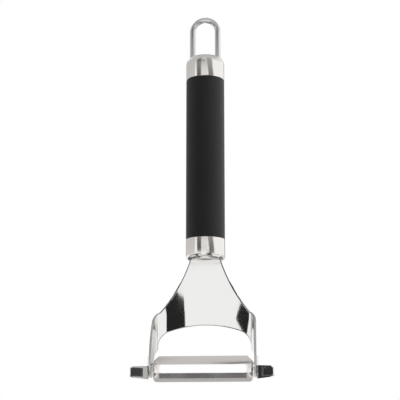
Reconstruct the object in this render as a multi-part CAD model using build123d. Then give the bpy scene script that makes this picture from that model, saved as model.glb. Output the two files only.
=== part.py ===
"""Y-shaped vegetable peeler with a swivelling blade.

Z runs along the handle, up to the hanging loop. X runs along the blade.
The peeler's front, with the blade, faces -Y.
The origin is the centre of the hanging loop's bend, where a hook carries it.
"""
import os
from math import asin, cos, degrees, radians, sin, sqrt, tan

from build123d import *

# All lengths are in millimetres and all angles in degrees

# Hanging loop
wire = 3.25                 # diameter of the bent wire
loop_inset = 2.05           # of each leg's outer side from the handle's outside
loop_rise = 16.0            # from the cap's top to the centre of the bend
leg_depth = 10.0            # of each leg inside the handle

# Handle
handle_diameter = 22.0
cap_length = 14.2
cap_shoulder = 5.0          # rounding of the cap's top edge
cap_wall = 1.0
grip_length = 93.6
grip_edge = 0.5             # rounding of the sleeve's two ends
grip_wall = 3.5             # of the sleeve over the core
collar_length = 12.2
collar_shoulder = 2.7       # rounding of the collar's lower edge
collar_dome = 0.7           # rise of the collar's domed end
collar_wall = 1.1
collar_floor = 1.3          # wall of the collar's end under the core
moulded_gap = 0.02          # between pieces moulded or pressed together

# Fork sheet, seen from above as a chain of tangent arcs
sheet = 1.3
bow_angle = 11.5            # the sheet's turn at the end of its middle bow
flank_radius = 36.0
flank_angle = 30.0          # its turn at the end of the flank
corner_radius = 5.5         # front face of the bend into the arm
toe_angle = 3.0             # how far the arms open towards the front
arm_gap = 54.8              # between the arms' inner faces at the pivot

# Fork outline
tang_length = 26.0
tang_cover = 1.5            # of core left beside the tang
tang_eye = 4.0              # hole in the tang that the core flows through
root_inset = 2.3            # of the sheet's sides from the collar's outside
flare_width = 30.2          # of the sheet halfway down its flared sides
flare_middle = 14.9         # of that place below the collar
flare_drop = 29.1           # of the flare's corners below the collar
arch_drop = 36.0            # of the arch's top below the collar
arch_radius = 54.0
arch_bend = 9.0             # radius where the arch turns down into the arms
arch_inset = 2.2            # of the arch's sides from the arms' inner faces
arm_back_drop = 43.5        # where each arm's back edge starts, below the collar
arm_back_end = 2.0          # of the back edge's lower end above the pivot

# Pivot
pivot_drop = 60.8           # of the blade's axis below the collar
pivot_reach = 15.0          # of the blade's axis in front of the handle's
boss_radius = 4.6           # rounded end of each arm
rivet_diameter = 2.0
rivet_head = 4.8            # diameter of the outer head
rivet_head_rise = 1.1
rivet_stop = 3.0            # diameter of the inner head that keeps the blade on
rivet_stop_rise = 0.7
rivet_play = 0.2            # between the inner head and the blade's tab
running_gap = 0.05          # between a rivet and the blade's hole, each side

# Blade, about its own axis
blade_height = 13.8
blade_steel = 0.8
blade_side_gap = 0.6        # between the blade's tabs and the arms
blade_depth = 2.0           # from the slot's edges back to the outer edges
blade_set = 2.6             # of the slot's edges in front of the axis
slot_height = 4.5
slot_end = 3.4              # from the slot's end to the blade's end
slot_corner = 1.5
bevel_height = 2.8          # of the ground facet under the slot
bevel_depth = 0.55          # ground off the slot's lower edge
blade_chamfer = 3.0         # cut off the upper corners
blade_corner = 2.2          # rounding of the lower corners
fold_radius = 1.0           # outside of the fold into each tab
tab_reach = 4.8             # of each tab behind the axis
tab_corner = 2.0
tab_foot = 2.8              # of the tab's back edge below the axis

# Stops of the swivel
swivel = 22.0               # each way from rest
nib_radius = 0.8            # nib pressed out of each arm
nib_distance = 4.2          # from the axis to the nib's centre
nib_bearing = 46.0          # of the nib, up from straight back
nib_rise = 1.2              # of the nib above the arm's inner face
nib_play = 1.5              # angle left between nib and tab at the limit
nib_gap = 0.3               # between the nib and the notch's floor

# Eye scoops
scoop_steel = 1.0
scoop_width = 7.0           # of the tongue at its root
scoop_tip_width = 5.8
scoop_drop = 2.0            # of the tongue's centre below the pivot
scoop_start = 2.8           # where the flange starts to bend, ahead of the pivot
scoop_bend = 1.2            # inside of the bend
scoop_lead = 38.0           # how far the tongue points forward of sideways
scoop_length = 9.5          # of the tongue past its bend
scoop_corner = 1.6          # rounding of the tongue's end
trough_start = 1.4          # of the pressed trough, past the bend
trough_width = 3.7          # of its flat floor
trough_flank = 0.5          # width of each sloping side
trough_depth = 0.9
flange_rise = 6.6           # of the scoop's flange above the pivot
flange_edge = 0.7           # of arm left bare round the flange
flange_corner = 2.0

overrun = 60.0              # of every cutter past what it cuts

# Levels along the handle, down from the loop
cap_top = -loop_rise
grip_top = cap_top - cap_length
grip_base = grip_top - grip_length
collar_end = grip_base - collar_length
core_end = collar_end + collar_floor
corner_z = collar_end - flare_drop
arch_top = collar_end - arch_drop
pivot_z = collar_end - pivot_drop
pivot_y = -pivot_reach

# Sizes that follow
handle_radius = handle_diameter / 2
core_radius = handle_radius - grip_wall
leg_spread = handle_radius - loop_inset - wire / 2
tang_half = core_radius - tang_cover
root_half = handle_radius - root_inset
arm_angle = 90 - toe_angle
rivet_radius = rivet_diameter / 2
blade_half = arm_gap / 2 - blade_side_gap
notch_half = swivel + degrees(asin(nib_radius / nib_distance)) + nib_play
notch_floor = nib_distance - nib_radius - nib_gap


def post(radius, bottom, top):
    """A round bar along the handle's axis between two levels."""
    bar = Cylinder(radius, top - bottom, align=(Align.CENTER, Align.CENTER, Align.MIN))
    return Pos(0, 0, bottom) * bar


def both_sides(right):
    """A right-hand piece and its left-hand image."""
    return right + mirror(right, Plane.YZ)


def about_pivot(distance, bearing):
    """A point round the pivot in the side view, its bearing up from straight back."""
    turn = radians(bearing)
    return pivot_y + distance * cos(turn), pivot_z + distance * sin(turn)


def front_prism(outline):
    """An outline in the front view, cut right through from front to back."""
    return extrude(Plane.XZ * outline, overrun, both=True)


def side_prism(outline, start, end):
    """An outline in the side view, between two distances from the middle."""
    return extrude(Plane.YZ.offset(start) * outline, end - start)


# Handle


def make_hanging_loop():
    bend = revolve(Pos(leg_spread, 0) * Circle(wire / 2), Axis((0, 0, 0), (0, -1, 0)), 180)
    leg = Pos(leg_spread, 0) * post(wire / 2, cap_top - leg_depth, 0)
    return bend + both_sides(leg)


def leg_holes():
    radius = wire / 2 + moulded_gap
    return both_sides(Pos(leg_spread, 0) * post(radius, cap_top - leg_depth - moulded_gap, 0))


def make_top_cap():
    outside = post(handle_radius, grip_top, cap_top)
    outside = fillet(outside.edges().group_by(Axis.Z)[-1], cap_shoulder)
    hollow = post(handle_radius - cap_wall, grip_top - overrun, cap_top - cap_wall)
    hollow = chamfer(hollow.edges().group_by(Axis.Z)[-1], cap_shoulder - cap_wall)
    return outside - hollow - leg_holes()


def make_grip_sleeve():
    sleeve = post(handle_radius, grip_base, grip_top)
    sleeve = fillet(sleeve.edges().filter_by(GeomType.CIRCLE), grip_edge)
    bore = post(core_radius + moulded_gap, grip_base - overrun, grip_top + overrun)
    return sleeve - bore


def make_lower_collar():
    flat = handle_radius - collar_shoulder
    dome = (flat ** 2 + collar_dome ** 2) / (2 * collar_dome)
    tip = (0, collar_end - collar_dome)
    end = RadiusArc(tip, (flat, collar_end), -dome)
    turn = JernArc((flat, collar_end), (1, 0), collar_shoulder, 90)
    wall = Polyline(turn @ 1, (handle_radius, grip_base), (0, grip_base), tip)
    outside = revolve(Plane.YZ * make_face([end, turn, wall]), Axis.Z)
    hollow = post(handle_radius - collar_wall, core_end, grip_base + overrun)
    hollow = chamfer(hollow.edges().group_by(Axis.Z)[0], collar_shoulder - collar_wall)
    slot = front_prism(Pos(0, collar_end) * Rectangle(2 * (root_half + moulded_gap), overrun))
    return outside - hollow - (slot & sheet_wall(moulded_gap))


def make_handle_core():
    core = post(core_radius, grip_base, grip_top)
    cap_bore = handle_radius - cap_wall - moulded_gap
    cap_plug = post(cap_bore, grip_top, cap_top - cap_wall - moulded_gap)
    core += chamfer(cap_plug.edges().group_by(Axis.Z)[-1], cap_shoulder - cap_wall)
    collar_bore = handle_radius - collar_wall - moulded_gap
    collar_plug = post(collar_bore, core_end + moulded_gap, grip_base)
    core += chamfer(collar_plug.edges().group_by(Axis.Z)[0], collar_shoulder - collar_wall)
    tang = front_prism(tang_outline(moulded_gap)) & sheet_wall(moulded_gap)
    return core - leg_holes() - tang


# Fork


def bow_radius():
    """Front face of the middle bow, as wide as the flanks and bends leave room for."""
    bow, flank, arm = radians(bow_angle), radians(flank_angle), radians(arm_angle)
    run = flank_radius * (sin(flank) - sin(bow)) + corner_radius * (sin(arm) - sin(flank))
    sink = flank_radius * (cos(bow) - cos(flank)) + corner_radius * (cos(flank) - cos(arm))
    sink += sheet / 2
    toe = tan(radians(toe_angle))
    room = arm_gap / 2 - run - toe * (pivot_reach - sink)
    return room / (sin(bow) - toe * (1 - cos(bow)))


def sheet_chain(growth):
    """The right half of one face from above: the flank, the corner bend and the arm.

    The growth is the face's distance behind the front face. The middle of the sheet's
    thickness is on the handle's axis.
    """
    bow = radians(bow_angle)
    radius = bow_radius() + growth
    start = (radius * sin(bow), growth - sheet / 2 - radius * (1 - cos(bow)))
    flank = JernArc(start, (cos(bow), -sin(bow)), flank_radius + growth, bow_angle - flank_angle)
    bend = JernArc(flank @ 1, flank % 1, corner_radius + growth, flank_angle - arm_angle)
    arm = Line(bend @ 1, bend @ 1 + (bend % 1) * overrun)
    return flank, bend, arm


def sheet_wall(gap=0):
    """The bowed sheet with both arms, endlessly tall, before its outline is cut."""
    edges = []
    tips = []
    for growth in (-gap, sheet + gap):
        flank, bend, arm = sheet_chain(growth)
        start = flank @ 0
        edges += [ThreePointArc((-start.X, start.Y), (0, growth - sheet / 2), start)]
        for edge in (flank, bend, arm):
            edges += [edge, mirror(edge, Plane.YZ)]
        tips.append(arm @ 1)
    end = Line(tips[0], tips[1])
    section = make_face(edges + [end, mirror(end, Plane.YZ)])
    return Pos(0, 0, pivot_z - overrun) * extrude(section, 4 * overrun)


def corner_place():
    """Where the flare's corner stands: the end of the flank on the sheet's front face."""
    flank, bend, arm = sheet_chain(0)
    return flank @ 1


def tang_outline(gap=0):
    """The tang in the front view, up from the collar's end, with its eye."""
    tang = Pos(0, collar_end) * Rectangle(
        2 * (tang_half + gap),
        collar_floor + tang_length + gap,
        align=(Align.CENTER, Align.MIN),
    )
    return tang - Pos(0, core_end + tang_length / 2) * Circle(tang_eye / 2 - gap)


def fork_front():
    """The fork in the front view, below the core: root, flare, corners and arch."""
    corner = corner_place().X
    arch = arm_gap / 2 - arch_inset
    inner = arch_radius - arch_bend
    centre_z = arch_top - arch_radius
    bend_rise = sqrt(inner ** 2 - (arch - arch_bend) ** 2)
    bend_z = centre_z + bend_rise
    lean = arch_radius / inner
    meet = ((arch - arch_bend) * lean, centre_z + bend_rise * lean)
    flare = ThreePointArc(
        (root_half, collar_end), (flare_width / 2, collar_end - flare_middle), (corner, corner_z)
    )
    outer = Polyline(flare @ 1, (overrun, corner_z), (overrun, -2 * overrun + pivot_z))
    inner_side = Polyline(
        (overrun, -2 * overrun + pivot_z), (arch, -2 * overrun + pivot_z), (arch, bend_z)
    )
    bend = TangentArc((arch, bend_z), meet, tangent=(0, 1))
    top = ThreePointArc(meet, (0, arch_top), (-meet[0], meet[1]))
    neck = Line((root_half, core_end), (root_half, collar_end))
    half = [neck, flare, outer, inner_side, bend]
    across = Line((root_half, core_end), (-root_half, core_end))
    return make_face(half + [mirror(edge, Plane.YZ) for edge in half] + [top, across])


def fork_side():
    """The fork in the side view: the arms' front and back edges and their round ends."""
    corner = corner_place().Y
    toe = (pivot_y - boss_radius, pivot_z)
    heel = (pivot_y + boss_radius, pivot_z)
    sky = collar_end + 2 * overrun
    front = TangentArc(toe, (corner, corner_z), tangent=(0, 1))
    end = ThreePointArc(toe, (pivot_y, pivot_z - boss_radius), heel)
    low = (heel[0], pivot_z + arm_back_end)
    flank, bend, arm = sheet_chain(sheet)
    high = ((flank @ 1).Y, collar_end - arm_back_drop)
    middle = ((low[0] + high[0]) / 2, (low[1] + high[1]) / 2)
    rise = Line(heel, low)
    sway = TangentArc(low, middle, tangent=(0, 1))
    settle = TangentArc(middle, high, tangent=sway % 1)
    back = Polyline(high, (overrun, high[1]), (overrun, sky), (corner, sky), (corner, corner_z))
    return make_face([front, end, rise, sway, settle, back])


def make_fork():
    tang = front_prism(tang_outline())
    plate = front_prism(fork_front()) & side_prism(fork_side(), -overrun, overrun)
    fork = sheet_wall() & (tang + plate)
    nib_y, nib_z = about_pivot(nib_distance, nib_bearing)
    nib = Plane.YZ.offset(arm_gap / 2 - nib_rise) * Pos(nib_y, nib_z) * Circle(nib_radius)
    fork += both_sides(extrude(nib, nib_rise + sheet / 2))
    hole = Pos(pivot_y, pivot_z) * Circle(rivet_radius + moulded_gap)
    return fork - side_prism(hole, -overrun, overrun)


# Pivot rivets


def flange_face():
    """Distance from the middle to the scoop flange's outer face, at the pivot."""
    return arm_gap / 2 + (sheet + scoop_steel) / cos(radians(toe_angle))


def make_pivot_rivet():
    """The right-hand rivet: domed head outside, shank, and a flat head inside the blade."""
    stop = blade_half - blade_steel - rivet_play
    head = flange_face() + rivet_head / 2 * tan(radians(toe_angle))
    crown = head + rivet_head_rise
    edge = rivet_head / 2
    ball = (edge ** 2 + rivet_head_rise ** 2) / (2 * rivet_head_rise)
    outline = Polyline(
        (stop - rivet_stop_rise, 0),
        (stop - rivet_stop_rise, rivet_stop / 2),
        (stop, rivet_stop / 2),
        (stop, rivet_radius),
        (head, rivet_radius),
        (head, edge),
    )
    dome = RadiusArc((head, edge), (crown, 0), ball)
    axis = Line((crown, 0), (stop - rivet_stop_rise, 0))
    turned = revolve(make_face([outline, dome, axis]), Axis.X)
    return Pos(0, pivot_y, pivot_z) * turned


# Blade


def blade_line(height):
    """Front face of the folded strip at a height above the axis, in front of the axis."""
    edge = slot_height / 2
    lean = blade_depth / (blade_height / 2 - edge)
    return -blade_set + lean * max(0, abs(height) - edge)


def strip_section(forward, back):
    """Side section of a band that follows the strip's front face between two depths."""
    top = blade_height / 2
    edge = slot_height / 2
    heights = (top, edge, -edge, -top)
    front = [(blade_line(height) + forward, height) for height in heights]
    behind = [(blade_line(height) + back, height) for height in reversed(heights)]
    return make_face(Polyline(*front, *behind, close=True))


def blade_shell():
    """The folded steel before its outline is cut: a front wall between two end walls."""
    reach = blade_depth + tab_reach
    block = extrude(Plane.YZ * strip_section(0, reach), blade_half, both=True)
    rims = block.edges().group_by(Axis.X)
    folds = (rims[0] + rims[-1]).filter_by(lambda rim: rim.center().Y < reach / 2 - blade_set)
    block = fillet(folds, fold_radius)
    room = strip_section(blade_steel, reach + blade_steel)
    return block - extrude(Plane.YZ * room, blade_half - blade_steel, both=True)


def blade_outline():
    """The blade in the front view: cut upper corners and round lower ones."""
    outline = Rectangle(2 * blade_half, blade_height)
    outline = chamfer(outline.vertices().group_by(Axis.Y)[-1], blade_chamfer)
    return fillet(outline.vertices().group_by(Axis.Y)[0], blade_corner)


def tab_outline():
    """An end tab in the side view, with the notch that meets the nib."""
    def around(distance, bearing):
        turn = radians(bearing)
        return distance * cos(turn), distance * sin(turn)

    lower, upper = nib_bearing - notch_half, nib_bearing + notch_half
    head = blade_height / 2 - blade_chamfer
    foot = -blade_height / 2 + blade_corner
    floor = ThreePointArc(
        around(notch_floor, upper), around(notch_floor, nib_bearing), around(notch_floor, lower)
    )
    sides = Polyline(
        floor @ 1,
        around(tab_reach / cos(radians(lower)), lower),
        (tab_reach, -tab_foot),
        (tab_reach - tab_corner, foot),
        (-blade_set - blade_depth, foot),
        (-blade_set - blade_depth, head),
        around(head / sin(radians(upper)), upper),
        floor @ 0,
    )
    return make_face([floor, sides]) - Circle(rivet_radius + running_gap)


def make_blade():
    edge = slot_height / 2
    half_slot = blade_half - slot_end
    strip = extrude(Plane.YZ * strip_section(0, blade_steel), blade_half, both=True)
    tabs = both_sides(side_prism(tab_outline(), blade_half - blade_steel, blade_half))
    blade = blade_shell() & (strip + tabs)
    blade &= front_prism(blade_outline())
    blade -= front_prism(RectangleRounded(2 * half_slot, slot_height, slot_corner))
    crease = -edge - bevel_height
    bevel = make_face(Polyline(
        (blade_line(crease), crease),
        (bevel_depth - blade_set, -edge),
        (-bevel_depth - blade_set, -edge),
        (-bevel_depth - blade_set, crease),
        close=True,
    ))
    blade -= extrude(Plane.YZ * bevel, half_slot, both=True)
    return Pos(0, pivot_y, pivot_z) * blade


# Eye scoops


def make_eye_scoop():
    """The right-hand scoop: a flange on the arm's outer face, bent out into a troughed tongue."""
    toe = radians(toe_angle)
    along = Vector(sin(toe), -cos(toe))
    out = Vector(cos(toe), sin(toe)) * scoop_steel
    reach = boss_radius - flange_edge
    root = Vector(arm_gap / 2 + sheet / cos(toe), pivot_y)
    back = root - along * reach
    front = root + along * scoop_start
    turn = 90 - toe_angle - scoop_lead
    inner = JernArc(front, along, scoop_bend + scoop_steel, turn)
    outer = JernArc(front + out, along, scoop_bend, turn)
    flange = make_face(Polyline(back, front, front + out, back + out, close=True))
    bend = make_face([inner, outer, Line(inner @ 0, outer @ 0), Line(inner @ 1, outer @ 1)])
    plate = Pos(0, 0, pivot_z - reach) * extrude(flange, reach + flange_rise)
    plate &= side_prism(flange_outline(), 0, overrun)
    low = pivot_z - scoop_drop - scoop_width / 2
    knuckle = Pos(0, 0, low) * extrude(bend, scoop_width)
    hole = Pos(pivot_y, pivot_z) * Circle(rivet_radius + moulded_gap)
    return plate + knuckle + make_tongue(inner @ 1) - side_prism(hole, 0, overrun)


def flange_outline():
    """The flange in the side view, its back corners rounded."""
    reach = boss_radius - flange_edge
    pad = Pos(pivot_y + reach, pivot_z - reach) * Rectangle(
        reach + scoop_start, reach + flange_rise, align=(Align.MAX, Align.MIN)
    )
    return fillet(pad.vertices().group_by(Axis.X)[-1], flange_corner)


def trough_section(floor, floor_half, mouth, mouth_half):
    """Across the tongue: from the trough's floor to its wider mouth in front."""
    return make_face(Polyline(
        (floor, -floor_half), (mouth, -mouth_half), (mouth, mouth_half), (floor, floor_half),
        close=True,
    ))


def make_tongue(start):
    """The flat tongue past the bend, with a trough pressed into it that is open at the end."""
    lead = radians(scoop_lead)
    ahead = Vector(cos(lead), -sin(lead), 0)
    to_front = Vector(-sin(lead), -cos(lead), 0)
    place = Vector(start.X, start.Y, pivot_z - scoop_drop)
    half_root, half_tip = scoop_width / 2, scoop_tip_width / 2
    outline = make_face(Polyline(
        (0, -half_root), (scoop_length, -half_tip), (scoop_length, half_tip), (0, half_root),
        close=True,
    ))
    outline = fillet(outline.vertices().group_by(Axis.X)[-1], scoop_corner)
    front = Plane(place, x_dir=ahead, z_dir=to_front) * outline

    half, skin = trough_width / 2, scoop_steel / 2
    pressed = trough_section(
        -trough_depth - scoop_steel, half + skin, 0, half + trough_flank + skin
    )
    room = trough_section(-trough_depth, half, trough_depth, half + 2 * trough_flank)
    base = Plane(place + ahead * trough_start, x_dir=to_front, z_dir=ahead)
    bulge = extrude(base * pressed, scoop_length) & extrude(front, overrun, both=True)
    recess = extrude(base.offset(scoop_steel) * room, scoop_length)
    return extrude(front, -scoop_steel) + bulge - recess


# The whole peeler


def build():
    """Every piece by its node's name."""
    rivet = make_pivot_rivet()
    scoop = make_eye_scoop()
    return {
        "hanging_loop": make_hanging_loop(),
        "top_cap": make_top_cap(),
        "handle_core": make_handle_core(),
        "grip_sleeve": make_grip_sleeve(),
        "lower_collar": make_lower_collar(),
        "fork": make_fork(),
        "blade": make_blade(),
        "pivot_rivet_right": rivet,
        "pivot_rivet_left": mirror(rivet, Plane.YZ),
        "eye_scoop_right": scoop,
        "eye_scoop_left": mirror(scoop, Plane.YZ),
    }


os.makedirs("parts", exist_ok=True)
for name, piece in build().items():
    export_step(piece, f"parts/{name}.step")
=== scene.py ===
from math import acos, asin, atan2, cos, degrees, hypot, pi, radians, sin, sqrt, tan

import bpy
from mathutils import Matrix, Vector


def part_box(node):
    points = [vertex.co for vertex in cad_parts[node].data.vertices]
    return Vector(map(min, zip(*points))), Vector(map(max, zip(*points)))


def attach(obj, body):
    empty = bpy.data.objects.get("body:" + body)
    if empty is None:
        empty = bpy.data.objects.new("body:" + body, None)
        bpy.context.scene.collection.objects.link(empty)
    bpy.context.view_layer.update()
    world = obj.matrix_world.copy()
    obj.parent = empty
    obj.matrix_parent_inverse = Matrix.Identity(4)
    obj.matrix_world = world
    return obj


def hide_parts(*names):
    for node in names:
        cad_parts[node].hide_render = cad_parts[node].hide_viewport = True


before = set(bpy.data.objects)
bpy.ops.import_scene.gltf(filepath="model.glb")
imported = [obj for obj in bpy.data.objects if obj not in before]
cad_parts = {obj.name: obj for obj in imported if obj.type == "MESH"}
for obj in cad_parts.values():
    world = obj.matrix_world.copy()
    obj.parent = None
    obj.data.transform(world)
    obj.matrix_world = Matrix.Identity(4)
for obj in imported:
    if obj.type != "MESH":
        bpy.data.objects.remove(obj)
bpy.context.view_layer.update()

MM = 0.001

# Handle
WIRE = 3.25 * MM            # thickness of the loop's wire
LEG_SPREAD = 7.325 * MM     # from the handle's axis to each leg of the loop
HANDLE_RADIUS = 11 * MM
CAP_SHOULDER = 5 * MM
CAP_WALL = 1 * MM
GRIP_EDGE = 0.5 * MM
CORE_RADIUS = 7.52 * MM
COLLAR_SHOULDER = 2.7 * MM
COLLAR_DOME = 0.7 * MM
COLLAR_WALL = 1.1 * MM
COLLAR_FLOOR = 1.3 * MM
RIM = 0.2 * MM              # rounding where cap and collar meet the grip

# Levels along the handle
CAP_TOP = -16 * MM
GRIP_TOP = -30.2 * MM
GRIP_BASE = -123.8 * MM
COLLAR_END = -136 * MM

# Fork sheet
SHEET = 1.3 * MM
BOW_ANGLE = radians(11.5)
FLANK_RADIUS = 36 * MM
FLANK_ANGLE = radians(30)
BEND_RADIUS = 5.5 * MM
TOE_ANGLE = radians(3)
ARM_GAP = 54.8 * MM
ROOT_HALF = 8.7 * MM
TANG_HALF = 6 * MM
TANG_LENGTH = 26 * MM
FLARE_HALF = 15.1 * MM
FLARE_MIDDLE = 14.9 * MM
FLARE_DROP = 29.1 * MM
ARCH_DROP = 36 * MM
ARCH_RADIUS = 54 * MM
ARCH_BEND = 9 * MM
ARCH_INSET = 2.2 * MM
ARM_BACK_DROP = 43.5 * MM
ARM_BACK_END = 2 * MM
SOFT_EDGE = 0.45 * MM       # rounding of the sheet's cut edges
FACE_FRAME = 0.12 * MM      # narrow frame inside its two broad faces
BROAD_FACE = 100 * MM ** 2  # least area of such a face
BEND_CUTS = (16, 26, 34)    # cuts across bow, flank and corner bend

# Pivot
PIVOT_Y = -15 * MM
PIVOT_Z = -196.8 * MM
BOSS_RADIUS = 4.6 * MM
RIVET_RADIUS = 1 * MM
HOLE_PLAY = 0.02 * MM
NIB_RADIUS = 0.8 * MM
NIB_DISTANCE = 4.2 * MM
NIB_BEARING = radians(46)
NIB_RISE = 1.2 * MM
NIB_EDGE = 0.35 * MM

# Blade and scoops
BLADE_EDGE = 0.1 * MM
SCOOP_EDGE = 0.25 * MM
SCOOP_LEAD = radians(38)    # how far the scoops turn to the front
TROUGH_DEPTH = 0.9 * MM
FRONT_FACING = 0.97         # least cosine of a face that looks to its front

# Skins: their fineness, and the angles in degrees up to which faces shade as one
MERGE_GAP = 0.001 * MM
ROUND_STEPS = 192
LOOP_STEPS = 72
WIRE_SIDES = 48
BAR_SIDES = 32
TURNED_ANGLE = 30
BENT_ANGLE = 40
CREASE_ANGLE = 5
LEVEL_ANGLE = 0.2           # up to which neighbouring faces become one
CREASED_FACE = 4 * MM ** 2  # least area of a face that keeps a reflection of its own


# Modelling helpers


def clear_selection():
    bpy.ops.object.select_all(action="DESELECT")


def finish_mesh(piece, angle):
    """Ends edit mode: closed skin, faces outwards, smooth where it turns gently."""
    bpy.ops.mesh.select_all(action="SELECT")
    bpy.ops.mesh.remove_doubles(threshold=MERGE_GAP)
    bpy.ops.mesh.normals_make_consistent(inside=False)
    bpy.ops.object.mode_set(mode="OBJECT")
    bpy.ops.object.transform_apply(location=True, rotation=True, scale=True)
    bpy.ops.object.shade_smooth_by_angle(angle=radians(angle))
    return piece


def apply_modifier(piece, kind, **settings):
    """Adds a modifier, sets it and applies it."""
    modifier = piece.modifiers.new(kind.title(), kind)
    for name, value in settings.items():
        setattr(modifier, name, value)
    bpy.ops.object.modifier_apply(modifier=modifier.name)


def start_outline(name, x, z):
    """A new piece in edit mode that is one point of a turned outline so far."""
    clear_selection()
    bpy.ops.mesh.primitive_plane_add(size=MM, location=(x, 0, z))
    piece = bpy.context.object
    piece.name = name
    piece.data.name = name
    bpy.ops.object.mode_set(mode="EDIT")
    bpy.ops.mesh.merge(type="CENTER")
    return piece


def line_by(x, z):
    """Draws the outline on by a straight line."""
    bpy.ops.mesh.extrude_region_move(TRANSFORM_OT_translate={"value": (x, 0, z)})


def arc_round(x, z, angle, steps):
    """Draws the outline on by an arc round a centre, clockwise seen from the front."""
    bpy.ops.mesh.spin(
        steps=steps, angle=-radians(angle), center=(x, 0, z), axis=(0, 1, 0), dupli=False
    )


def turn(piece):
    """Turns the drawn outline round the handle's axis into a closed skin."""
    bpy.ops.mesh.select_all(action="SELECT")
    bpy.ops.mesh.spin(
        steps=ROUND_STEPS, angle=2 * pi, center=(0, 0, 0), axis=(0, 0, 1), dupli=False
    )
    return finish_mesh(piece, TURNED_ANGLE)


# Materials

# Colours
POLISHED = (0.86, 0.86, 0.85)
WIRE_TINT = (0.76, 0.76, 0.75)
TURNED = (0.9, 0.872, 0.845)
STRIP = (0.875, 0.84, 0.808)
CUT = (0.62, 0.61, 0.6)
# painted shade: the near-black colour the cut edges turn to towards the handle
CUT_PAINTED_SHADE = (0.09, 0.088, 0.086)
# painted shade: near-black steel for the hollow of each scoop's trough
PAINTED_TROUGH_SHADE = (0.08, 0.08, 0.085)
RUBBER = (0.008, 0.0075, 0.0078)
RUBBER_DARK = (0.005, 0.0047, 0.005)
RUBBER_PALE = (0.0075, 0.0072, 0.0074)
CORE = (0.03, 0.03, 0.03)

# Patterns, in repeats to the metre along x, y and z
TURNED_GRAIN = (25, 25, 7000)
STRIP_GRAIN = (30, 9000, 9000)
SLOW_PATCHES = (90, 90, 90)
HANDLING_HAZE = (60, 60, 60)
LAPPING_MARKS = (2500, 2500, 120)
CUT_MARKS = (900, 900, 900)
RUBBER_SPECK = (9000, 9000, 9000)
RUBBER_WEAR = (70, 70, 40)
CORE_FLOW = (200, 200, 60)

# Depths of the patterns, and the height over which painted shade darkens the cut edges
GRAIN_DEPTH = 0.02 * MM
LAPPING_DEPTH = 0.01 * MM
SPECK_DEPTH = 0.03 * MM
PAINTED_SHADE_HEIGHT = 18 * MM

# Colour sockets of a mixing node
MIX_FIRST, MIX_SECOND, MIX_RESULT = 6, 7, 2


def feed(tree, socket, value):
    """Links a node's output to an input, or sets the input to a plain value."""
    if isinstance(value, bpy.types.NodeSocket):
        tree.links.new(value, socket)
    else:
        socket.default_value = value


def add_node(tree, kind, settings=None, **inputs):
    """Adds a node, sets it, and feeds its named inputs."""
    node = tree.nodes.new(kind)
    for name, value in (settings or {}).items():
        setattr(node, name, value)
    for name, value in inputs.items():
        feed(tree, node.inputs[name.replace("_", " ")], value)
    return node


def new_material(name, color, roughness, metallic=0):
    """A material with its node tree and shader."""
    material = bpy.data.materials.new(name)
    material.use_nodes = True
    shader = material.node_tree.nodes["Principled BSDF"]
    shader.inputs["Base Color"].default_value = (*color, 1)
    shader.inputs["Roughness"].default_value = roughness
    shader.inputs["Metallic"].default_value = metallic
    return material, material.node_tree, shader


def own_place(tree):
    """A point's place on its piece."""
    return add_node(tree, "ShaderNodeTexCoord").outputs["Object"]


def own_height(tree):
    """A point's height on its piece."""
    return add_node(tree, "ShaderNodeSeparateXYZ", Vector=own_place(tree)).outputs["Z"]


def grain(tree, scale, detail):
    """Noise on the piece's own coordinates, stretched by a scale along each axis."""
    stretch = add_node(tree, "ShaderNodeMapping", Vector=own_place(tree), Scale=scale)
    return add_node(
        tree, "ShaderNodeTexNoise", Vector=stretch.outputs["Vector"], Scale=1, Detail=detail
    ).outputs["Fac"]


def ramp(tree, value, low, high, start=0.3, end=0.7):
    """Maps a value to a range; most of a noise lies between the usual start and end."""
    return add_node(
        tree, "ShaderNodeMapRange", Value=value, From_Min=start, From_Max=end,
        To_Min=low, To_Max=high,
    ).outputs["Result"]


def tint(tree, value, dark, light):
    """Mixes two colours by a value."""
    mix = add_node(tree, "ShaderNodeMix", {"data_type": "RGBA"}, Factor=value)
    mix.inputs[MIX_FIRST].default_value = (*dark, 1)
    mix.inputs[MIX_SECOND].default_value = (*light, 1)
    return mix.outputs[MIX_RESULT]


def dimmed(color, part):
    """A colour at a part of its strength."""
    return tuple(part * value for value in color)


def relief(tree, shader, value, strength, depth):
    """Lets a pattern stand out in fine relief."""
    bump = add_node(tree, "ShaderNodeBump", Strength=strength, Distance=depth, Height=value)
    feed(tree, shader.inputs["Normal"], bump.outputs["Normal"])


def brushed_material(name, color, grain_scale, rough, strength):
    """Brushed steel: fine lines along the grain, and slow patches of light and dark."""
    material, tree, shader = new_material(name, color, rough, metallic=1)
    lines = grain(tree, grain_scale, detail=6)
    patches = grain(tree, SLOW_PATCHES, detail=3)
    feed(tree, shader.inputs["Base Color"], tint(tree, lines, dimmed(color, 0.93), color))
    feed(tree, shader.inputs["Roughness"], ramp(tree, patches, rough * 0.85, rough * 1.15))
    relief(tree, shader, lines, strength, GRAIN_DEPTH)
    return material


def polished_material(name, color, rough):
    """Polished steel: nearly a mirror, with faint lapping marks and handling haze."""
    material, tree, shader = new_material(name, color, rough, metallic=1)
    haze = grain(tree, HANDLING_HAZE, detail=5)
    marks = grain(tree, LAPPING_MARKS, detail=3)
    feed(tree, shader.inputs["Base Color"], tint(tree, haze, dimmed(color, 0.97), color))
    feed(tree, shader.inputs["Roughness"], ramp(tree, haze, rough * 0.7, rough * 1.4))
    relief(tree, shader, marks, strength=0.006, depth=LAPPING_DEPTH)
    return material


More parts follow.
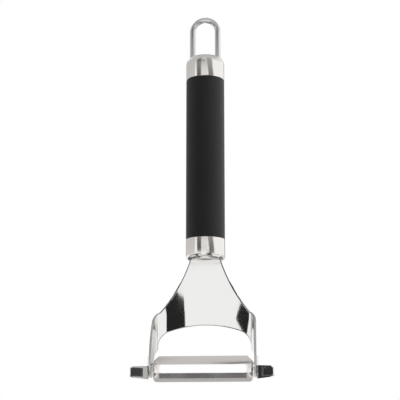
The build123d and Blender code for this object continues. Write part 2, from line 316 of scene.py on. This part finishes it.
def cut_material_with_painted_shade():
    """Satin cut edges of the sheet, with painted shade that darkens them towards the handle."""
    material, tree, shader = new_material("cut_edge_steel_painted_shade", CUT, roughness=0.28, metallic=1)
    arch = COLLAR_END - ARCH_DROP
    # painted shade: the cut edges go from their own satin grey to near black towards the handle
    painted_shade_near_root = ramp(tree, own_height(tree), 0, 1, arch, arch + PAINTED_SHADE_HEIGHT)
    marks = grain(tree, CUT_MARKS, detail=6)
    feed(tree, shader.inputs["Base Color"], tint(tree, painted_shade_near_root, CUT, CUT_PAINTED_SHADE))
    feed(tree, shader.inputs["Roughness"], ramp(tree, marks, 0.24, 0.32))
    return material


def rubber_material():
    """Soft-touch coating: near black, satin, with a fine even grain."""
    material, tree, shader = new_material("soft_touch_black", RUBBER, roughness=0.5)
    shader.inputs["Specular IOR Level"].default_value = 0.12
    shader.inputs["Sheen Weight"].default_value = 0.105
    shader.inputs["Sheen Roughness"].default_value = 0.5
    speck = grain(tree, RUBBER_SPECK, detail=2)
    wear = grain(tree, RUBBER_WEAR, detail=4)
    feed(tree, shader.inputs["Base Color"], tint(tree, wear, RUBBER_DARK, RUBBER_PALE))
    feed(tree, shader.inputs["Roughness"], ramp(tree, wear, 0.54, 0.64))
    relief(tree, shader, speck, strength=0.25, depth=SPECK_DEPTH)
    return material


def core_material():
    """Moulded plastic, a little uneven along its flow."""
    material, tree, shader = new_material("core_plastic", CORE, roughness=0.5)
    flow = grain(tree, CORE_FLOW, detail=3)
    feed(tree, shader.inputs["Roughness"], ramp(tree, flow, 0.42, 0.58))
    return material


def dress(piece, material):
    """Gives a piece one material and no other."""
    piece.data.materials.clear()
    piece.data.materials.append(material)


fork_steel = polished_material("polished_sheet", POLISHED, rough=0.035)
wire_steel = polished_material("polished_wire", WIRE_TINT, rough=0.1)
collar_steel = brushed_material("turned_steel", TURNED, TURNED_GRAIN, rough=0.14, strength=0.025)
blade_steel = brushed_material("strip_steel", STRIP, STRIP_GRAIN, rough=0.15, strength=0.03)
# painted shade: near-black steel that stands in for the shade in the scoops' troughs
painted_shade_trough_steel = polished_material("painted_shade_trough_steel", PAINTED_TROUGH_SHADE, rough=0.16)
cut_steel_painted_shade = cut_material_with_painted_shade()
rubber = rubber_material()


# Handle


def make_top_cap():
    """The upper steel end: a rounded shoulder outside, a bevelled one inside."""
    piece = start_outline("top_cap_steel", 0, CAP_TOP)
    line_by(HANDLE_RADIUS - CAP_SHOULDER, 0)
    arc_round(HANDLE_RADIUS - CAP_SHOULDER, CAP_TOP - CAP_SHOULDER, angle=90, steps=24)
    line_by(0, GRIP_TOP + RIM - CAP_TOP + CAP_SHOULDER)
    arc_round(HANDLE_RADIUS - RIM, GRIP_TOP + RIM, angle=90, steps=4)
    line_by(RIM - CAP_WALL, 0)
    inner = CAP_SHOULDER - CAP_WALL
    line_by(0, CAP_TOP - CAP_SHOULDER - GRIP_TOP)
    line_by(-inner, inner)
    line_by(CAP_SHOULDER - HANDLE_RADIUS, 0)
    return turn(piece)


def make_lower_collar():
    """The lower steel end, with a rounded shoulder and a slightly domed floor."""
    flat = HANDLE_RADIUS - COLLAR_SHOULDER
    dome = (flat ** 2 + COLLAR_DOME ** 2) / (2 * COLLAR_DOME)
    piece = start_outline("lower_collar_steel", 0, COLLAR_END - COLLAR_DOME)
    arc_round(0, COLLAR_END - COLLAR_DOME + dome, angle=-degrees(asin(flat / dome)), steps=12)
    arc_round(flat, COLLAR_END + COLLAR_SHOULDER, angle=-90, steps=16)
    line_by(0, GRIP_BASE - RIM - COLLAR_END - COLLAR_SHOULDER)
    arc_round(HANDLE_RADIUS - RIM, GRIP_BASE - RIM, angle=-90, steps=4)
    line_by(RIM - COLLAR_WALL, 0)
    inner = COLLAR_SHOULDER - COLLAR_WALL
    line_by(0, COLLAR_END + COLLAR_FLOOR + inner - GRIP_BASE)
    line_by(-inner, -inner)
    line_by(COLLAR_SHOULDER - HANDLE_RADIUS, 0)
    return turn(piece)


def make_grip():
    """The soft tube between the steel ends."""
    piece = start_outline("grip_rubber", HANDLE_RADIUS - GRIP_EDGE, GRIP_TOP)
    arc_round(HANDLE_RADIUS - GRIP_EDGE, GRIP_TOP - GRIP_EDGE, angle=90, steps=8)
    line_by(0, GRIP_BASE - GRIP_TOP + 2 * GRIP_EDGE)
    arc_round(HANDLE_RADIUS - GRIP_EDGE, GRIP_BASE + GRIP_EDGE, angle=90, steps=8)
    line_by(GRIP_EDGE + CORE_RADIUS - HANDLE_RADIUS, 0)
    line_by(0, GRIP_TOP - GRIP_BASE)
    line_by(HANDLE_RADIUS - GRIP_EDGE - CORE_RADIUS, 0)
    return turn(piece)


def make_hanging_loop():
    """The wire: a round section drawn up one leg, spun over the bend and down the other."""
    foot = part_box("hanging_loop")[0].z
    clear_selection()
    bpy.ops.mesh.primitive_circle_add(
        vertices=WIRE_SIDES, radius=WIRE / 2, fill_type="NGON", location=(LEG_SPREAD, 0, foot)
    )
    piece = bpy.context.object
    piece.name = "hanging_loop_wire"
    bpy.ops.object.mode_set(mode="EDIT")
    bpy.ops.mesh.select_all(action="SELECT")
    bpy.ops.mesh.extrude_region_move(TRANSFORM_OT_translate={"value": (0, 0, -foot)})
    bpy.ops.mesh.spin(
        steps=LOOP_STEPS, angle=pi, center=(0, 0, 0), axis=(0, 1, 0), dupli=False
    )
    bpy.ops.mesh.extrude_region_move(TRANSFORM_OT_translate={"value": (0, 0, foot)})
    return finish_mesh(piece, BENT_ANGLE)


# Fork: the lines of its sheet


def bow_radius():
    """Front face of the middle bow, as wide as the flanks and bends leave room for."""
    arm = pi / 2 - TOE_ANGLE
    run = FLANK_RADIUS * (sin(FLANK_ANGLE) - sin(BOW_ANGLE))
    run += BEND_RADIUS * (sin(arm) - sin(FLANK_ANGLE))
    sink = FLANK_RADIUS * (cos(BOW_ANGLE) - cos(FLANK_ANGLE)) + SHEET / 2
    sink += BEND_RADIUS * (cos(FLANK_ANGLE) - cos(arm))
    toe = tan(TOE_ANGLE)
    room = ARM_GAP / 2 - run + toe * (PIVOT_Y + sink)
    return room / (sin(BOW_ANGLE) - toe * (1 - cos(BOW_ANGLE)))


def sheet_arcs():
    """The bends of the sheet from its middle out: radius of the front face, turn before and after."""
    return (
        (bow_radius(), 0, BOW_ANGLE),
        (FLANK_RADIUS, BOW_ANGLE, FLANK_ANGLE),
        (BEND_RADIUS, FLANK_ANGLE, pi / 2 - TOE_ANGLE),
    )


def bent_place(along, depth):
    """Where a point of the flat sheet lies once it is bent, from above."""
    x, y, rest = 0, -SHEET / 2, abs(along)
    for radius, first, last in sheet_arcs():
        turned = min(first + rest / radius, last)
        x += radius * (sin(turned) - sin(first))
        y -= radius * (cos(first) - cos(turned))
        rest -= radius * (turned - first)
        if rest <= 0:
            break
    rest = max(0, rest)
    x += rest * cos(turned) + depth * sin(turned)
    y += depth * cos(turned) - rest * sin(turned)
    return (x if along >= 0 else -x), y


def along_to_x(x):
    """How far along the flat sheet the bent front face reaches x."""
    reached, before = 0, 0
    for radius, first, last in sheet_arcs():
        after = before + radius * (sin(last) - sin(first))
        if x <= after:
            return reached + radius * (asin(sin(first) + (x - before) / radius) - first)
        reached += radius * (last - first)
        before = after
    return reached


def along_to_y(y):
    """How far along the flat sheet the bent front face reaches y."""
    reached, before = 0, -SHEET / 2
    for radius, first, last in sheet_arcs():
        after = before - radius * (cos(first) - cos(last))
        if y >= after:
            return reached + radius * (acos(cos(first) - (before - y) / radius) - first)
        reached += radius * (last - first)
        before = after
    return reached + (before - y) / cos(TOE_ANGLE)


def arc_points(centre, radius, first, last, steps):
    """Points of an arc, its start left out; angles run from the first direction upwards."""
    points = []
    for step in range(1, steps + 1):
        angle = first + (last - first) * step / steps
        points.append((centre[0] + radius * cos(angle), centre[1] + radius * sin(angle)))
    return points


def circle_through(first, second, third):
    """Centre and radius of the circle through three places, each (x, z)."""
    (ax, az), (bx, bz), (cx, cz) = first, second, third
    cross = 2 * ((bx - ax) * (cz - az) - (bz - az) * (cx - ax))
    near = (bx - ax) ** 2 + (bz - az) ** 2
    far = (cx - ax) ** 2 + (cz - az) ** 2
    x = ax + (near * (cz - az) - far * (bz - az)) / cross
    z = az + (far * (bx - ax) - near * (cx - ax)) / cross
    return (x, z), hypot(ax - x, az - z)


def flare_outline(corner_x):
    """Tang and flaring side of the right half, in the front view."""
    shoulder = COLLAR_END + COLLAR_FLOOR
    centre, radius = circle_through(
        (ROOT_HALF, COLLAR_END),
        (FLARE_HALF, COLLAR_END - FLARE_MIDDLE),
        (corner_x, COLLAR_END - FLARE_DROP),
    )
    root_x = centre[0] - sqrt(radius ** 2 - (shoulder - centre[1]) ** 2)
    root = atan2(shoulder - centre[1], root_x - centre[0])
    corner = atan2(COLLAR_END - FLARE_DROP - centre[1], corner_x - centre[0])
    tang = [(TANG_HALF, shoulder + TANG_LENGTH), (TANG_HALF, shoulder), (root_x, shoulder)]
    return tang + arc_points(centre, radius, root, corner, steps=32)


def arm_outline(corner_y, side_y, back_y):
    """Front edge, round end and back edge of the right arm, in the side view."""
    toe, heel = PIVOT_Y - BOSS_RADIUS, PIVOT_Y + BOSS_RADIUS
    run, rise = corner_y - toe, COLLAR_END - FLARE_DROP - PIVOT_Z
    radius = (run ** 2 + rise ** 2) / (2 * run)
    points = arc_points((toe + radius, PIVOT_Z), radius, pi - asin(rise / radius), pi, steps=32)
    points += arc_points((PIVOT_Y, PIVOT_Z), BOSS_RADIUS, pi, 2 * pi, steps=28)
    low, high = PIVOT_Z + ARM_BACK_END, COLLAR_END - ARM_BACK_DROP
    points.append((heel, low))
    run, rise = (back_y - heel) / 2, (high - low) / 2
    radius = (run ** 2 + rise ** 2) / (2 * run)
    sway = asin(rise / radius)
    points += arc_points((heel + radius, low), radius, pi, pi - sway, steps=10)
    end = acos(1 - (back_y - side_y) / radius)
    return points + arc_points((back_y - radius, high), radius, -sway, -end, steps=8)


def arch_outline():
    """The arch from the right arm to the middle, in the front view."""
    side = ARM_GAP / 2 - ARCH_INSET
    middle = side - ARCH_BEND
    centre = COLLAR_END - ARCH_DROP - ARCH_RADIUS
    bend = centre + sqrt((ARCH_RADIUS - ARCH_BEND) ** 2 - middle ** 2)
    meet = atan2(bend - centre, middle)
    points = [(side, bend)] + arc_points((middle, bend), ARCH_BEND, 0, meet, steps=14)
    return points + arc_points((0, centre), ARCH_RADIUS, meet, pi / 2, steps=22)


def flat_outline():
    """Outline of the sheet before it is bent, once round."""
    corner = sheet_arcs()[2]
    flank_end = sum(radius * (last - first) for radius, first, last in sheet_arcs()[:2])
    corner_x, corner_y = bent_place(flank_end, 0)
    side_y = bent_place(along_to_x(ARM_GAP / 2 - ARCH_INSET), 0)[1]
    back_y = corner_y + SHEET * cos(corner[1])
    right = [(along_to_x(x), z) for x, z in flare_outline(corner_x)]
    right += [(along_to_y(y), z) for y, z in arm_outline(corner_y, side_y, back_y)]
    right += [(along_to_x(x), z) for x, z in arch_outline()]
    return right + [(-along, z) for along, z in reversed(right[:-1])]


# Fork: the making of it


def select_faces(piece, wanted):
    """Selects the faces that a test picks, in edit mode."""
    bpy.ops.mesh.select_mode(type="FACE")
    bpy.ops.mesh.select_all(action="DESELECT")
    bpy.ops.object.mode_set(mode="OBJECT")
    for face in piece.data.polygons:
        face.select = wanted(face)
    bpy.ops.object.mode_set(mode="EDIT")


def on_rim(face):
    """Whether a face of the flat sheet belongs to its cut rim."""
    return abs(face.normal.y) < 0.5


def cut_out_sheet():
    """The sheet cut out flat, left in edit mode, with satin steel and its painted shade all round its
    rim.
    """
    outline = flat_outline()
    clear_selection()
    bpy.ops.mesh.primitive_circle_add(vertices=len(outline), radius=1, fill_type="NGON")
    piece = bpy.context.object
    piece.name = "fork_sheet"
    for material in (fork_steel, cut_steel_painted_shade):
        piece.data.materials.append(material)
    for vertex, (along, z) in zip(piece.data.vertices, outline):
        vertex.co = (along, 0, z)
    bpy.ops.object.mode_set(mode="EDIT")
    bpy.ops.mesh.select_all(action="SELECT")
    bpy.ops.mesh.extrude_region_move(TRANSFORM_OT_translate={"value": (0, SHEET, 0)})
    bpy.ops.mesh.select_all(action="SELECT")
    bpy.ops.mesh.normals_make_consistent(inside=False)
    select_faces(piece, on_rim)
    piece.active_material_index = 1
    bpy.ops.object.material_slot_assign()
    return piece


def round_cut_edges(piece):
    """Rounds the sheet's cut edges, and frames its broad faces so that they shade flat."""
    select_faces(piece, lambda face: not on_rim(face))
    bpy.ops.mesh.region_to_loop()
    bpy.ops.mesh.bevel(
        offset=SOFT_EDGE, segments=4, affect="EDGES", clamp_overlap=False, material=1
    )
    select_faces(piece, lambda face: face.area > BROAD_FACE)
    bpy.ops.mesh.inset(thickness=FACE_FRAME, use_individual=True)


def cut_across(along):
    """Cuts the flat sheet from edge to edge, where it will be bent."""
    bpy.ops.mesh.select_all(action="SELECT")
    bpy.ops.mesh.bisect(plane_co=(along, 0, 0), plane_no=(1, 0, 0))


def press_bends(piece):
    """Cuts the flat sheet across wherever it will bend, then bends it."""
    cut_across(0)
    reached = 0
    for (radius, first, last), steps in zip(sheet_arcs(), BEND_CUTS):
        for step in range(1, steps + 1):
            along = reached + radius * (last - first) * step / steps
            cut_across(along)
            cut_across(-along)
        reached = along
    bpy.ops.mesh.select_mode(type="VERT")
    bpy.ops.object.mode_set(mode="OBJECT")
    for vertex in piece.data.vertices:
        x, y = bent_place(vertex.co.x, vertex.co.y)
        vertex.co = (x, y, vertex.co.z)
    bpy.ops.object.mode_set(mode="EDIT")
    finish_mesh(piece, BENT_ANGLE)


def bar_across(radius, start, end, y, z, name):
    """A short round bar that lies sideways, to join to the fork or cut from it."""
    clear_selection()
    bpy.ops.mesh.primitive_cylinder_add(
        vertices=BAR_SIDES, radius=radius, depth=abs(end - start),
        location=((start + end) / 2, y, z), rotation=(0, pi / 2, 0),
    )
    bar = bpy.context.object
    bar.name = name
    bpy.ops.object.transform_apply(location=True, rotation=True, scale=True)
    return bar


def join_or_cut(piece, tool, operation):
    """Adds the tool's volume to the piece, or takes it away."""
    clear_selection()
    piece.select_set(True)
    bpy.context.view_layer.objects.active = piece
    apply_modifier(piece, "BOOLEAN", object=tool, operation=operation, solver="EXACT")
    bpy.data.objects.remove(tool)


def add_nibs_and_holes(piece):
    """Raises the stop nib inside each arm, and drills the arm for its rivet."""
    nib_y = PIVOT_Y + NIB_DISTANCE * cos(NIB_BEARING)
    nib_z = PIVOT_Z + NIB_DISTANCE * sin(NIB_BEARING)
    inner = ARM_GAP / 2
    for hand in (1, -1):
        nib = bar_across(
            NIB_RADIUS, hand * (inner - NIB_RISE), hand * (inner + SHEET / 2), nib_y, nib_z, "nib"
        )
        apply_modifier(nib, "BEVEL", width=NIB_EDGE, segments=4, limit_method="ANGLE")
        join_or_cut(piece, nib, "UNION")
        hole = bar_across(
            RIVET_RADIUS + HOLE_PLAY, hand * (inner - SHEET), hand * (inner + 3 * SHEET),
            PIVOT_Y, PIVOT_Z, "hole",
        )
        join_or_cut(piece, hole, "DIFFERENCE")
    bpy.ops.object.shade_smooth_by_angle(angle=radians(BENT_ANGLE))


def make_fork():
    """The sheet, cut out flat, its edges rounded, its bends pressed, then nibs and holes."""
    piece = cut_out_sheet()
    round_cut_edges(piece)
    press_bends(piece)
    add_nibs_and_holes(piece)
    return piece


# Blade, rivets and scoops: the frame's own skins, merged, the blade's and scoops' with softened edges


def mark_creases(piece):
    """Marks the edges between two broad flat faces, so that each keeps its own reflection."""
    faces_of = {}
    for face in piece.data.polygons:
        if face.area > CREASED_FACE:
            for key in face.edge_keys:
                faces_of.setdefault(key, []).append(face.normal)
    for edge in piece.data.edges:
        normals = faces_of.get(edge.key, ())
        if len(normals) == 2 and normals[0].angle(normals[1]) > radians(CREASE_ANGLE):
            edge.use_edge_sharp = True


def merged_copy(node, name, edge=0):
    """A copy of a node's skin as one closed mesh, its sharp edges rounded where edge is given."""
    clear_selection()
    piece = bpy.data.objects.new(name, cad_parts[node].data.copy())
    bpy.context.scene.collection.objects.link(piece)
    piece.select_set(True)
    bpy.context.view_layer.objects.active = piece
    if piece.data.has_custom_normals:
        bpy.ops.mesh.customdata_custom_splitnormals_clear()
    bpy.ops.object.mode_set(mode="EDIT")
    bpy.ops.mesh.select_all(action="SELECT")
    bpy.ops.mesh.remove_doubles(threshold=MERGE_GAP)
    bpy.ops.mesh.dissolve_limited(angle_limit=radians(LEVEL_ANGLE))
    finish_mesh(piece, TURNED_ANGLE)
    if edge:
        apply_modifier(
            piece, "BEVEL", width=edge, segments=3, limit_method="ANGLE",
            angle_limit=radians(BENT_ANGLE),
        )
        bpy.ops.object.shade_smooth_by_angle(angle=radians(BENT_ANGLE))
        mark_creases(piece)
    return piece


def make_scoop(side):
    """A scoop with softened edges, the floor of its pressed trough painted near black as shade."""
    scoop = merged_copy(f"eye_scoop_{side}", f"scoop_{side}", SCOOP_EDGE)
    dress(scoop, fork_steel)
    scoop.data.materials.append(painted_shade_trough_steel)
    hand = 1 if side == "right" else -1
    front = Vector((-hand * sin(SCOOP_LEAD), -cos(SCOOP_LEAD), 0))
    levels = {}
    for face in scoop.data.polygons:
        if face.normal.dot(front) > FRONT_FACING:
            levels[face.index] = face.center.dot(front)
    trough_level = max(levels.values()) - TROUGH_DEPTH / 2
    # faces on the trough's floor get the painted shade material
    for face in scoop.data.polygons:
        face.material_index = int(levels.get(face.index, trough_level) < trough_level)
    return scoop


# Surroundings

FLOOR_Z = -0.32
FLOOR_SIZE = 16
FLOOR_GREY = (0.86, 0.86, 0.86)
FLOOR_GLOW = 0.85           # how far the floor shows plain white, the rest being its own shade
TENT_LIGHT = 0.62           # of the white surroundings on things
TENT_WHITE = 1.0            # of the white surroundings as they are seen
CARD_FACE = 3               # degrees round the object for each face of a card
CARD_LIFT = 0.004           # of the lying cards above the floor
LAMP_AIM = Vector((0, 0, -0.1))
LAMP_SIZE = (0.7, 1.0)

# Distances of the standing cards
WALL = (0.9, 0.9)
NEAR = (0.88, 0.88)

# Name, turns at the low edge, turns at the high edge, heights, distances, shades
STANDING_CARDS = (
    ("flag_left_low", (-60, -21), (-60, -21), (-0.3, -0.1), NEAR, (0.04, 0.04)),
    ("flag_left", (-56, -53), (-62, -36.5), (-0.092, -0.068), NEAR, (0.02, 0.02)),
    ("flag_left_top", (-62, -36.5), (-68, -49), (-0.068, -0.04), NEAR, (0.02, 0.02)),
    ("flag_left_upper", (-43, -20), (-50, -20), (0.004, 0.32), NEAR, (0.02, 0.3)),
    ("flag_right", (10, 40), (12, 40), (-0.3, -0.06), NEAR, (0.02, 0.02)),
    ("flag_right_middle", (12, 40), (13, 47), (-0.06, -0.04), NEAR, (0.02, 0.02)),
    ("flag_right_top", (13, 47), (28, 47), (-0.04, -0.026), NEAR, (0.02, 0.02)),
    ("flag_right_upper", (29, 60), (14, 45), (-0.02, 0.33), NEAR, (0.12, 0.38)),
    ("flag_left_foot", (-100, -60), (-100, -60), (-0.3, -0.12), NEAR, (0.03, 0.03)),
    ("panel_right_foot", (49, 90), (49, 90), (-0.3, -0.12), NEAR, (0.5, 0.5)),
    ("panel_left", (-155, -62), (-155, -51), (-0.02, 0.5), WALL, (0.64, 0.54)),
    ("panel_right", (110, 155), (110, 155), (-0.3, -0.02), WALL, (0.7, 0.8)),
    ("panel_back_low", (155, 178), (155, 178), (-0.3, -0.05), WALL, (0.6, 0.6)),
    ("panel_back_foot", (178, 205), (178, 205), (-0.3, -0.05), WALL, (0.88, 0.88)),
    ("panel_back", (155, 205), (155, 205), (-0.05, 0.7), WALL, (0.25, 0.42)),
    ("haze_low", (-24, 17), (-24, 17), (0.01, 0.12), WALL, (0.74, 0.8)),
    ("haze_front", (-24, 17), (-24, 17), (0.12, 0.31), WALL, (0.85, 0.6)),
    ("flag_left_brow", (-46, 5), (-46, 5), (0.32, 0.4), NEAR, (0.05, 0.05)),
    ("flag_left_high", (-50, -20), (-46, -14), (0.4, 1.2), NEAR, (0.25, 0.35)),
    ("flag_right_high", (14, 45), (14, 45), (0.33, 1.2), NEAR, (0.38, 0.45)),
    ("haze_top", (-60, 50), (-60, 50), (0.31, 1.25), WALL, (0.6, 0.7)),
    ("brow_left", (-125, -60), (-125, -60), (0.45, 1.0), NEAR, (0.55, 0.55)),
    ("brow_right", (50, 125), (50, 125), (0.45, 1.0), NEAR, (0.75, 0.75)),
)

# Name, turns, distances, shade
LYING_CARDS = (
    ("foot_front", (-30, 20), (0.25, 0.4), 0.1),
    ("foot_near", (-40, 40), (0.08, 0.2), 0.5),
    ("foot_left", (-58, -38), (0.22, 0.88), 0.1),
    ("foot_right", (16, 49), (0.22, 0.88), 0.1),
    ("foot_left_near", (-130, -40), (0.06, 0.2), 0.06),
    ("foot_right_near", (40, 130), (0.06, 0.2), 0.15),
    ("foot_left_rear", (-165, -100), (0.2, 0.7), 0.14),
    ("foot_right_rear", (100, 165), (0.2, 0.7), 0.22),
    ("foot_left_side", (-112, -58), (0.2, 0.6), 0.62),
    ("foot_right_side", (49, 112), (0.2, 0.6), 0.95),
    ("foot_back", (165, 195), (0.22, 0.88), 0.8),
)

# The card overhead: its height, the distances of its edges, and its shade
CEILING_HEIGHT = 1.3
CEILING_DISTANCES = (1.3, 0.01)
CEILING_SHADE = 0.55


def join_values(tree, operation, first, second):
    """One value made of two, each a node's output or a number."""
    node = add_node(tree, "ShaderNodeMath", {"operation": operation})
    feed(tree, node.inputs[0], first)
    feed(tree, node.inputs[1], second)
    return node.outputs[0]


def seen_part(tree, camera_part=1):
    """How far a thing shows plain white: all of it to mirrors and glass, a part to the camera."""
    ray = add_node(tree, "ShaderNodeLightPath").outputs
    seen = join_values(tree, "MULTIPLY", ray["Is Camera Ray"], camera_part)
    seen = join_values(tree, "MAXIMUM", seen, ray["Is Glossy Ray"])
    return join_values(tree, "MAXIMUM", seen, ray["Is Transmission Ray"])


def make_world():
    """White surroundings, dimmer as light on things than as they are seen."""
    world = bpy.data.worlds.new("white_tent")
    world.use_nodes = True
    bpy.context.scene.world = world
    tree = world.node_tree
    backdrop = tree.nodes["Background"]
    backdrop.inputs["Color"].default_value = (1, 1, 1, 1)
    level = ramp(tree, seen_part(tree), TENT_LIGHT, TENT_WHITE, 0, 1)
    feed(tree, backdrop.inputs["Strength"], level)


def make_floor():
    """A pale matt floor."""
    clear_selection()
    bpy.ops.mesh.primitive_plane_add(size=FLOOR_SIZE, location=(0, 0, FLOOR_Z))
    floor = bpy.context.object
    floor.name = "floor"
    material, tree, shader = new_material("pale_floor", FLOOR_GREY, roughness=0.9)
    shader.inputs["Specular IOR Level"].default_value = 0.1
    glow = add_node(tree, "ShaderNodeEmission")
    mix = add_node(tree, "ShaderNodeMixShader", Fac=seen_part(tree, FLOOR_GLOW))
    feed(tree, mix.inputs[1], shader.outputs["BSDF"])
    feed(tree, mix.inputs[2], glow.outputs["Emission"])
    feed(tree, tree.nodes["Material Output"].inputs["Surface"], mix.outputs["Shader"])
    dress(floor, material)


def shade_material(name, heights, shades):
    """A grey that shows the same from everywhere, from one shade low down to another above."""
    material = bpy.data.materials.new(name)
    material.use_nodes = True
    tree = material.node_tree
    level = ramp(tree, own_height(tree), *shades, *heights)
    glow = add_node(tree, "ShaderNodeEmission", Strength=level)
    feed(tree, tree.nodes["Material Output"].inputs["Surface"], glow.outputs["Emission"])
    return material


def between(start, end, part):
    """A value part of the way from the start to the end."""
    return start + (end - start) * part


def make_card(name, low_turns, high_turns, heights, distances, shades):
    """A grey card that only mirrors see, standing or lying round the object.

    Turns are degrees from the front, positive to the right, at the card's low and high
    edge; heights, distances and shades are given for the low and the high edge too.
    """
    steps = max(2, round((low_turns[1] - low_turns[0]) / CARD_FACE))
    clear_selection()
    bpy.ops.mesh.primitive_grid_add(x_subdivisions=steps, y_subdivisions=1, size=2)
    card = bpy.context.object
    card.name = name
    for vertex in card.data.vertices:
        across = (vertex.co.x + 1) / 2
        up = (vertex.co.y + 1) / 2
        first = between(low_turns[0], high_turns[0], up)
        last = between(low_turns[1], high_turns[1], up)
        around = radians(between(first, last, across))
        distance = between(*distances, up)
        vertex.co = (distance * sin(around), -distance * cos(around), between(*heights, up))
    if heights[0] == heights[1]:
        heights = (heights[0], heights[0] + 1)
    dress(card, shade_material(name, heights, shades))
    card.visible_camera = False
    card.visible_diffuse = False
    card.visible_shadow = False
    card.visible_transmission = False


def make_lying_card(name, turns, height, distances, shade):
    """A card of one shade that lies level."""
    make_card(name, turns, turns, (height, height), distances, (shade, shade))


def make_cards():
    """Dark flags and grey panels, as a photographer sets them round polished steel."""
    for card in STANDING_CARDS:
        make_card(*card)
    for name, turns, distances, shade in LYING_CARDS:
        make_lying_card(name, turns, FLOOR_Z + CARD_LIFT, distances, shade)
    make_lying_card("ceiling", (-180, 180), CEILING_HEIGHT, CEILING_DISTANCES, CEILING_SHADE)


def make_lamp(name, place, power):
    """A soft lamp that lights the object but doesn't show in its steel."""
    lamp = bpy.data.lights.new(name, "AREA")
    lamp.shape = "RECTANGLE"
    lamp.size, lamp.size_y = LAMP_SIZE
    lamp.energy = power
    holder = bpy.data.objects.new(name, lamp)
    holder.location = place
    holder.rotation_euler = (LAMP_AIM - Vector(place)).to_track_quat("-Z", "Y").to_euler()
    holder.visible_glossy = False
    bpy.context.scene.collection.objects.link(holder)


# Camera

CAMERA_DISTANCE = 0.63
CAMERA_TURN = radians(5.2)
CAMERA_RISE = radians(-12.6)
VIEW_CENTRE = Vector((0, 0, -0.10085))
LENS = 100
SENSOR = 36
FRAME_PIXELS = 400
AXIS_PIXEL = 205.4          # where the photograph shows the handle's axis


def make_camera():
    """The photograph's view, from a little below and to the right."""
    data = bpy.data.cameras.new("camera")
    data.lens = LENS
    data.sensor_width = SENSOR
    camera = bpy.data.objects.new("camera", data)
    bpy.context.scene.collection.objects.link(camera)
    back = Vector((
        sin(CAMERA_TURN) * cos(CAMERA_RISE),
        -cos(CAMERA_TURN) * cos(CAMERA_RISE),
        sin(CAMERA_RISE),
    ))
    right = Vector((cos(CAMERA_TURN), sin(CAMERA_TURN), 0))
    focal = LENS / SENSOR * FRAME_PIXELS
    aside = (AXIS_PIXEL - FRAME_PIXELS / 2) / focal * CAMERA_DISTANCE
    camera.location = VIEW_CENTRE + back * CAMERA_DISTANCE
    aim = VIEW_CENTRE - right * aside - camera.location
    camera.rotation_euler = aim.to_track_quat("-Z", "Y").to_euler()
    bpy.context.scene.camera = camera


# The whole picture

pieces = [
    (make_hanging_loop(), "hanging_loop", wire_steel, "wire_steel"),
    (make_top_cap(), "top_cap", collar_steel, "collar_steel"),
    (make_grip(), "grip_sleeve", rubber, "soft_grip"),
    (make_lower_collar(), "lower_collar", collar_steel, "collar_steel"),
    (make_fork(), "fork", fork_steel, "fork_steel"),
    (merged_copy("blade", "blade_strip", BLADE_EDGE), "blade", blade_steel, "blade_steel"),
]
for side in ("right", "left"):
    rivet = merged_copy(f"pivot_rivet_{side}", f"rivet_{side}")
    pieces.append((rivet, f"pivot_rivet_{side}", wire_steel, "rivet_steel"))
    scoop = make_scoop(side)
    pieces.append((scoop, f"eye_scoop_{side}", fork_steel, "scoop_steel"))

for piece, node, material, slot in pieces:
    if material.name not in piece.data.materials:
        dress(piece, material)
    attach(piece, "blade" if node == "blade" else "handle")
    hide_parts(node)
dress(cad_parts["handle_core"], core_material())

make_world()
make_floor()
make_cards()
make_lamp("lamp_left", place=(-1.05, -0.2, 0.4), power=7)
make_lamp("lamp_right", place=(1.08, -0.1, 0.25), power=37)
make_camera()
bpy.context.scene.view_settings.view_transform = "Standard"
